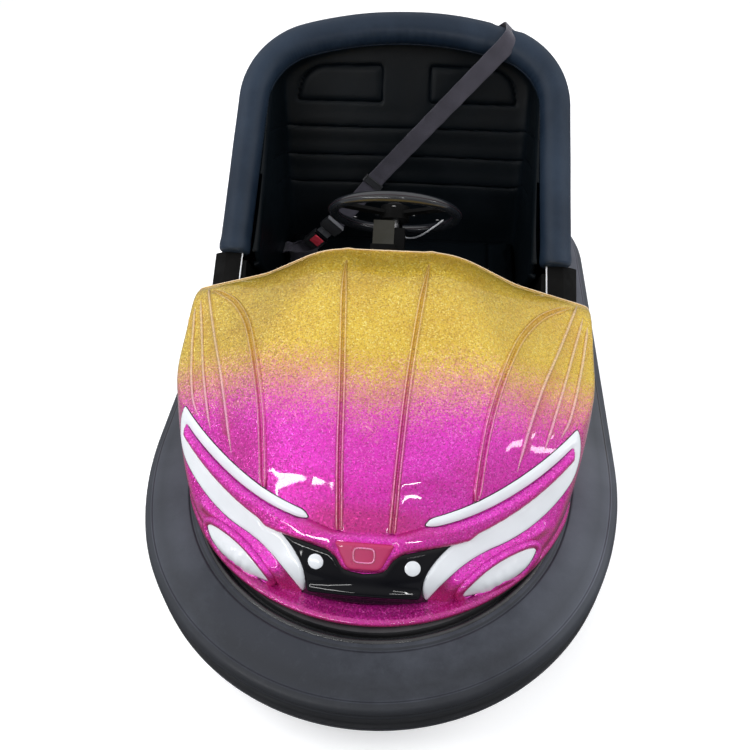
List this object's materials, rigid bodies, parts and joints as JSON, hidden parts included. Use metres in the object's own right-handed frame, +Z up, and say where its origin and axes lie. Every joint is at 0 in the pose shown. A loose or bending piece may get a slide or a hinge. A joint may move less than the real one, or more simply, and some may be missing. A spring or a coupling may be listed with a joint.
{
  "type": "bumper car",
  "caption": "Fairground bumper car: rubber ring round a glitter-painted body, padded bench seat for two, lap and shoulder belt, steered drive wheel.",
  "frame": {"origin": "on the floor under the middle of the car", "axes": "+Z up, -Y towards the nose, +X towards the driver's left"},
  "size_m": [1.15, 1.91, 0.9773],
  "materials": {
    "ring_rubber": "satin rubber, scuffed",
    "black_steel": "black enamel",
    "floor_steel": "black, worn",
    "glitter_body": "glitter paint, gold over magenta, clear coated",
    "bright_steel": "zinc plated",
    "wheel_tyre": "solid rubber",
    "wheel_hub": "cast",
    "vinyl": "soft grained vinyl",
    "black_plastic": "satin",
    "motor_grey": "satin grey",
    "cast_housing": "cast, painted",
    "column_paint": "satin brown grey",
    "wheel_grip": "satin grip",
    "pedal_rubber": "ribbed",
    "white_lens": "opal white",
    "grille_black": "gloss black",
    "magenta_trim": "glitter magenta",
    "webbing": "woven webbing"
  },
  "bodies": {
    "car": {"accelerator_pedal": "pedal_rubber", "badge_plate": "magenta_trim", "battery_pack": "black_plastic", "belt_anchor": "black_plastic", "belt_buckle": "black_plastic", "belt_lower": "webbing", "belt_tongue": "bright_steel", "belt_upper": "webbing", "body_tray": "black_steel", "bumper_hoop": "black_steel", "bumper_ring": "ring_rubber", "chassis_frame": "black_steel", "column_collar": "black_plastic", "drive_housing": "black_plastic", "drive_mount": "black_steel", "floor_pan": "floor_steel", "fog_lamps": "white_lens", "front_body": "glitter_body", "grille_lamps": "white_lens", "grille_panel": "grille_black", "light_strips": "white_lens", "rear_axle": "bright_steel", "rear_body": "glitter_body", "seat_back_pad": "vinyl", "seat_base": "black_plastic", "seat_cushion": "vinyl", "seat_rim_pad": "vinyl", "seat_side_pad_left": "vinyl", "seat_side_pad_right": "vinyl", "sill_covers": "black_plastic", "steering_column": "column_paint", "steering_gearbox": "cast_housing"},
    "steering_wheel": {"steering_rim": "wheel_grip", "steering_spokes": "black_steel", "steering_hub": "black_plastic", "steering_shaft": "bright_steel"},
    "drive_fork": {"drive_fork": "black_steel", "drive_axle": "bright_steel", "drive_motor": "motor_grey"},
    "drive_wheel": {"drive_tyre": "wheel_tyre", "drive_hub": "wheel_hub"},
    "rear_wheel_left": {"rear_tyre_left": "wheel_tyre", "rear_hub_left": "wheel_hub"},
    "rear_wheel_right": {"rear_tyre_right": "wheel_tyre", "rear_hub_right": "wheel_hub"}
  },
  "joints": [
    {"name": "drive_fork_turn", "type": "hinge", "parent": "car", "child": "drive_fork", "pos_m": [0, -0.26, 0.235], "axis": [0, 0, 1], "range_deg": [-180, 180]},
    {"name": "steering_wheel_turn", "type": "hinge", "parent": "car", "child": "steering_wheel", "pos_m": [0, 0.098, 0.639], "axis": [0, 0.7524, 0.6587], "range_deg": [-180, 180]},
    {"name": "drive_wheel_spin", "type": "hinge", "parent": "drive_fork", "child": "drive_wheel", "pos_m": [0, -0.26, 0.1], "axis": [1, 0, 0], "continuous": true},
    {"name": "rear_wheel_left_spin", "type": "hinge", "parent": "car", "child": "rear_wheel_left", "pos_m": [0.3, 0.505, 0.1], "axis": [1, 0, 0], "continuous": true},
    {"name": "rear_wheel_right_spin", "type": "hinge", "parent": "car", "child": "rear_wheel_right", "pos_m": [-0.3, 0.505, 0.1], "axis": [1, 0, 0], "continuous": true}
  ],
  "couplings": [
    {"joint": "steering_wheel_turn", "follows": "drive_fork_turn", "ratio": 1}
  ]
}
